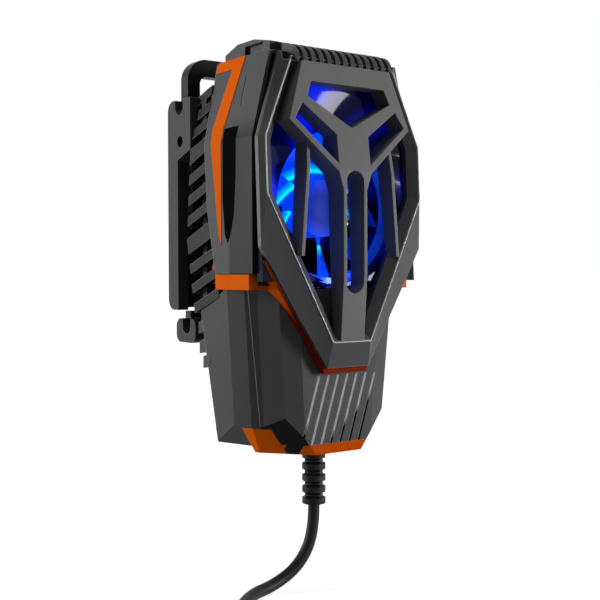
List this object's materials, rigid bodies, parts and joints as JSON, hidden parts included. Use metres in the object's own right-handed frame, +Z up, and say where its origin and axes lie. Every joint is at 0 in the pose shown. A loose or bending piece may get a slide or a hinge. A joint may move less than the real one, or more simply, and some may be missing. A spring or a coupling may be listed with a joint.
{
  "type": "phone cooling fan",
  "caption": "Clip-on cooling fan with a shield-shaped grille, lit impeller, ribbed cage, clamp frame with sliding arch and jaw, angular lower body and a coiled plug lead.",
  "frame": {"origin": "middle of the clamp frame's flat rear face, where the fan is held", "axes": "+Z up, front grille faces -Y, +X to the right seen from the front"},
  "size_m": [0.0951, 0.1309, 0.1645],
  "materials": {
    "rim_grey": "fine satin",
    "panel_grey": "satin",
    "dark_grey": "fine satin",
    "black": "matte",
    "accent": "satin orange",
    "fan_plastic": "polished",
    "light_guide": "frosted",
    "board": "lacquered",
    "steel": "plain",
    "magnet": "sintered",
    "bronze": "sintered",
    "copper": "enamelled wire",
    "white_plastic": "plain",
    "soft_black": "matte"
  },
  "bodies": {
    "fan_body": {"front_cover": "rim_grey", "y_grille": "panel_grey", "top_louvre": "dark_grey", "upper_housing": "dark_grey", "accent_frame": "accent", "lower_front_shell": "dark_grey", "lower_rear_shell": "dark_grey", "bottom_trim": "accent", "rib_cage": "black", "back_frame": "black", "fan_duct": "black", "light_ring": "light_guide", "light_board": "board", "motor_bearing": "bronze", "stator": "steel", "stator_coils": "copper", "motor_board": "board", "control_board": "board", "lead_socket": "white_plastic", "frame_screws": "steel", "shell_screws": "steel", "board_screws": "steel", "strain_relief": "soft_black", "cable": "soft_black", "cable_coil": "soft_black", "cable_tail": "soft_black", "cable_tie": "soft_black", "plug_overmould": "soft_black", "usb_shell": "steel", "usb_tongue": "white_plastic"},
    "rotor": {"impeller": "fan_plastic", "rotor_cup": "steel", "rotor_magnet": "magnet", "motor_shaft": "steel"},
    "arch": {"hanger_arch": "black"},
    "jaw": {"clamp_jaw": "black"}
  },
  "joints": [
    {"name": "impeller_spin", "type": "hinge", "parent": "fan_body", "child": "rotor", "pos_m": [0, -0.038, -0.0025], "axis": [0, -1, 0], "continuous": true},
    {"name": "arch_slide", "type": "slide", "parent": "fan_body", "child": "arch", "axis": [0, 0, 1], "range_m": [0, 0.016]},
    {"name": "jaw_slide", "type": "slide", "parent": "fan_body", "child": "jaw", "axis": [0, 0, -1], "range_m": [0, 0.012]}
  ]
}
